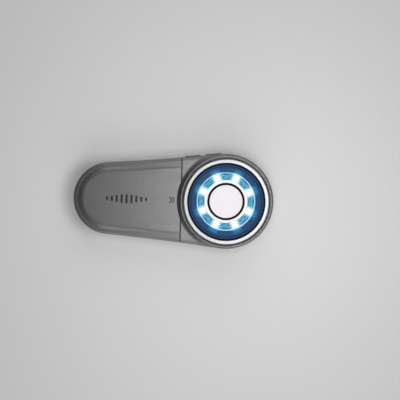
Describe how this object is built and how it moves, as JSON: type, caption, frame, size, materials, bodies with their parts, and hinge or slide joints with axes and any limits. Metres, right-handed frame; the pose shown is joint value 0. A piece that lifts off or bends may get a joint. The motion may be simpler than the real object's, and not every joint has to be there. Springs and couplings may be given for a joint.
{
  "type": "hand-held skin-surface scanner",
  "caption": "Paddle-shaped hand-held skin scanner: round head with magnifier, lamp ring and turning focus dial that moves the contact window, and a flat metal handle with side buttons.",
  "frame": {"origin": "on the optical axis, in the plane of the back, which is the mouth of the eyepiece socket", "axes": "+X from the handle to the head, +Y to the side with the buttons, +Z out of the contact window"},
  "size_m": [0.139, 0.0664, 0.0284],
  "materials": {
    "body_metal": "matte",
    "dial_metal": "satin",
    "black_metal": "satin",
    "black_plastic": "matte",
    "navy_plastic": "satin",
    "white_plastic": "satin",
    "optical_glass": "polished",
    "window_glass": "polished",
    "polariser_film": "gloss",
    "lamp_board": "satin",
    "lamp_package": "satin",
    "green_board": "satin",
    "chip_black": "matte",
    "chip_ceramic": "satin",
    "button_metal": "matte",
    "switch_steel": "satin",
    "black_screw": "satin",
    "brass": "satin",
    "flex_film": "satin",
    "cell_foil": "satin",
    "foam": "matte",
    "seal_rubber": "matte",
    "thermal_grey": "matte",
    "lead_sleeve": "satin",
    "connector_white": "satin",
    "clear_plastic": "gloss"
  },
  "bodies": {
    "housing": {"rear_shell": "body_metal", "handle_cover": "body_metal", "head_cover": "body_metal", "seam_seal": "seal_rubber", "optic_chassis": "black_metal", "guide_sleeve": "black_metal", "dial_washer": "black_plastic", "lens_tube": "black_metal", "lens_spacers": "black_metal", "analyser_filter": "polariser_film", "eyepiece_bezel": "black_metal", "led_board": "lamp_board", "thermal_pad": "thermal_grey", "lit_leds": "lamp_package", "standby_leds": "lamp_package", "led_resistors": "chip_ceramic", "inner_light_ring": "white_plastic", "outer_light_ring": "white_plastic", "polariser_ring": "polariser_film", "light_baffle": "navy_plastic", "tact_switches": "chip_black", "switch_board": "green_board", "switch_flex": "flex_film", "main_board": "green_board", "board_supports": "brass", "board_screws": "switch_steel", "board_chips": "chip_black", "board_passives": "chip_ceramic", "usb_socket": "switch_steel", "usb_tongue": "chip_black", "battery_cell": "cell_foil", "battery_pad": "foam", "battery_leads": "lead_sleeve", "battery_plug": "connector_white", "light_flex": "flex_film", "gauge_light_pipes": "clear_plastic", "gauge_leds": "lamp_package", "case_screws": "black_screw", "thread_inserts": "brass", "chassis_screws": "black_screw", "eye_lens": "optical_glass", "middle_lens": "optical_glass", "front_lens": "optical_glass"},
    "focus_dial": {"focus_dial": "dial_metal"},
    "contact_barrel": {"contact_barrel": "black_metal", "cam_pins": "brass", "glass_gasket": "seal_rubber", "contact_glass": "window_glass"},
    "power_button": {"power_button": "button_metal", "power_plunger": "chip_black"},
    "mode_button": {"mode_button": "button_metal", "mode_plunger": "chip_black"}
  },
  "joints": [
    {"name": "dial_turn", "type": "hinge", "parent": "housing", "child": "focus_dial", "pos_m": [0, 0, 0.022], "axis": [0, 0, 1], "range_deg": [0, 90]},
    {"name": "barrel_lift", "type": "slide", "parent": "housing", "child": "contact_barrel", "axis": [0, 0, 1], "range_m": [0, 0.003]},
    {"name": "power_button_press", "type": "slide", "parent": "housing", "child": "power_button", "axis": [0.1239, -0.9923, 0], "range_m": [0, 0.0005], "stiffness_N_per_m": 600, "springref_m": -0.001},
    {"name": "mode_button_press", "type": "slide", "parent": "housing", "child": "mode_button", "axis": [0.1128, -0.9936, 0], "range_m": [0, 0.0005], "stiffness_N_per_m": 600, "springref_m": -0.001}
  ],
  "couplings": [
    {"joint": "dial_turn", "follows": "barrel_lift", "rad_per_m": 523.59}
  ]
}
